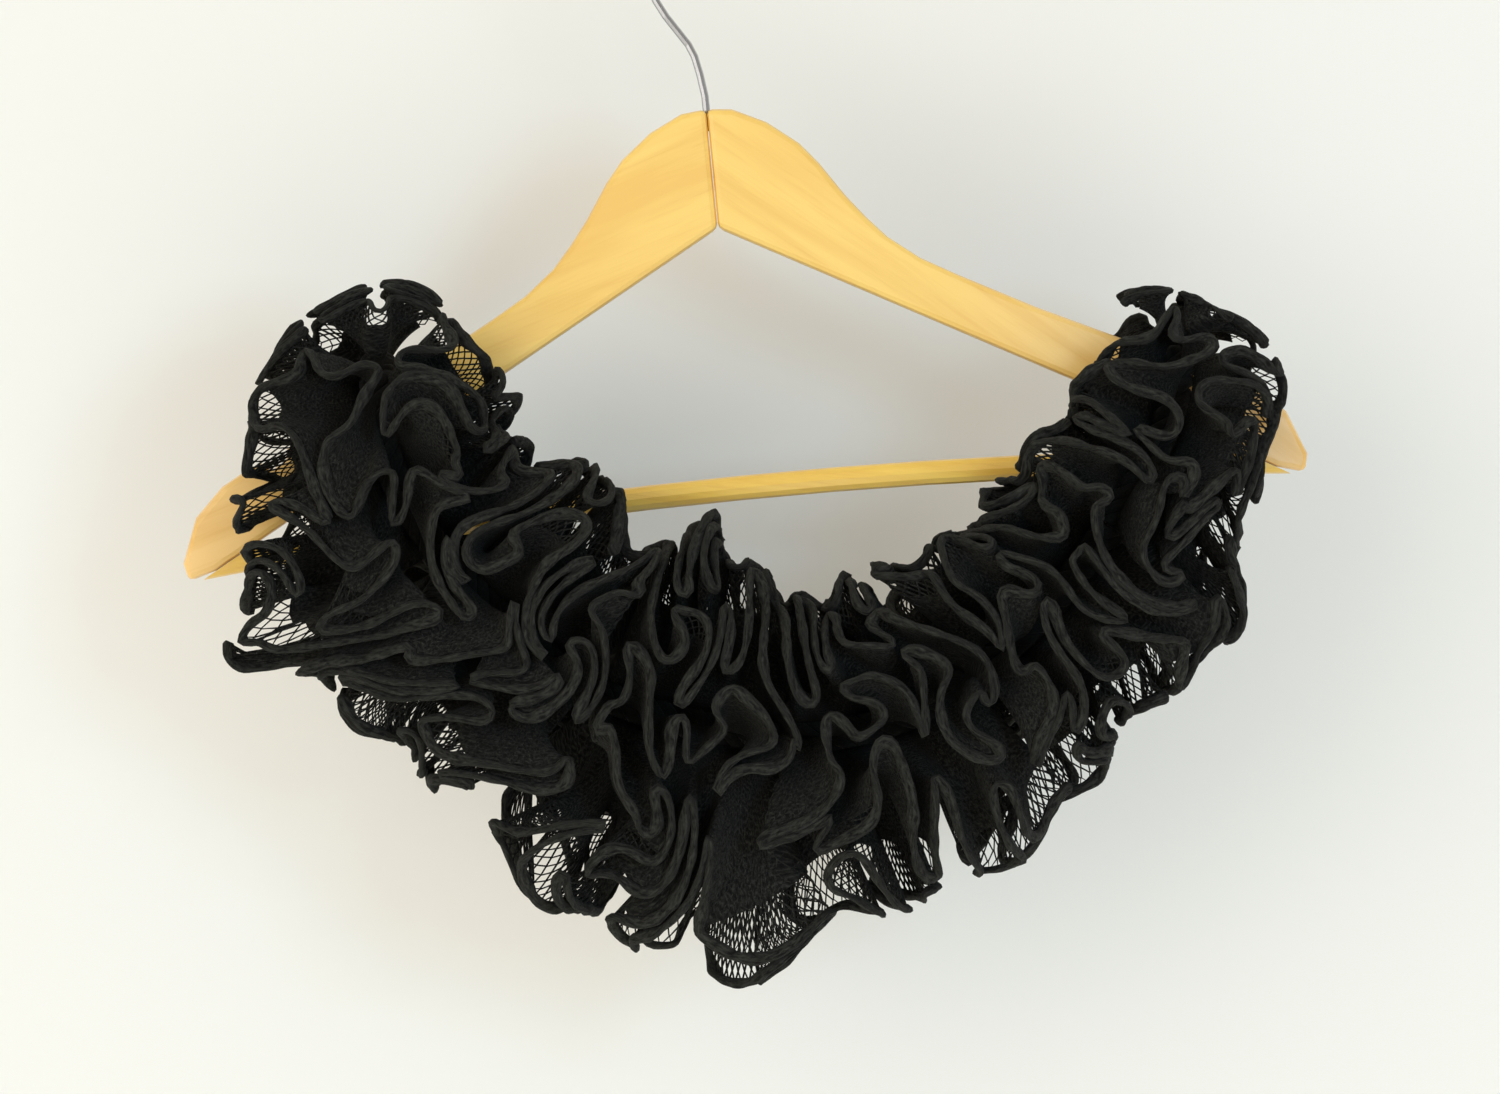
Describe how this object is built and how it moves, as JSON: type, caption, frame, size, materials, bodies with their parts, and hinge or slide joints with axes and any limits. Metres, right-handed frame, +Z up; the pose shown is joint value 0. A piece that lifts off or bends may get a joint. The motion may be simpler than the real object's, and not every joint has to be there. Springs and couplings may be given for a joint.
{
  "type": "ruffle knit scarf on wooden hanger",
  "caption": "Ruffle scarf of net ribbon on a knitted core, a closed loop hung in a swag over both arms of a flat wooden hanger with a round crossbar and a wire hook.",
  "frame": {"origin": "inner top of the hanger's hook, where it rests on a rail", "axes": "+Z up, -Y the front of the scarf, +X to the viewer's right, along the hanger, which hangs tilted 5.6 degrees with that end higher"},
  "size_m": [0.4418, 0.1723, 0.416],
  "materials": {
    "wood": "satin lacquer",
    "bar_wood": "satin lacquer",
    "steel": "bright wire",
    "yarn": "matt knit",
    "net": "matt fibrous net"
  },
  "bodies": {
    "root": {"core_back_1": "yarn", "core_back_2": "yarn", "core_back_3": "yarn", "core_back_4": "yarn", "core_back_5": "yarn", "core_front_1": "yarn", "core_front_2": "yarn", "core_front_3": "yarn", "core_front_4": "yarn", "core_front_5": "yarn", "core_front_6": "yarn", "core_over_left": "yarn", "core_over_right": "yarn", "crossbar": "bar_wood", "hanger_arm_left": "wood", "hanger_arm_right": "wood", "hook": "steel", "ruffle_back_1": "net", "ruffle_back_2": "net", "ruffle_back_3": "net", "ruffle_back_4": "net", "ruffle_back_5": "net", "ruffle_front_1": "net", "ruffle_front_2": "net", "ruffle_front_3": "net", "ruffle_front_4": "net", "ruffle_front_5": "net", "ruffle_front_6": "net", "ruffle_over_left": "net", "ruffle_over_right": "net"}
  },
  "joints": []
}
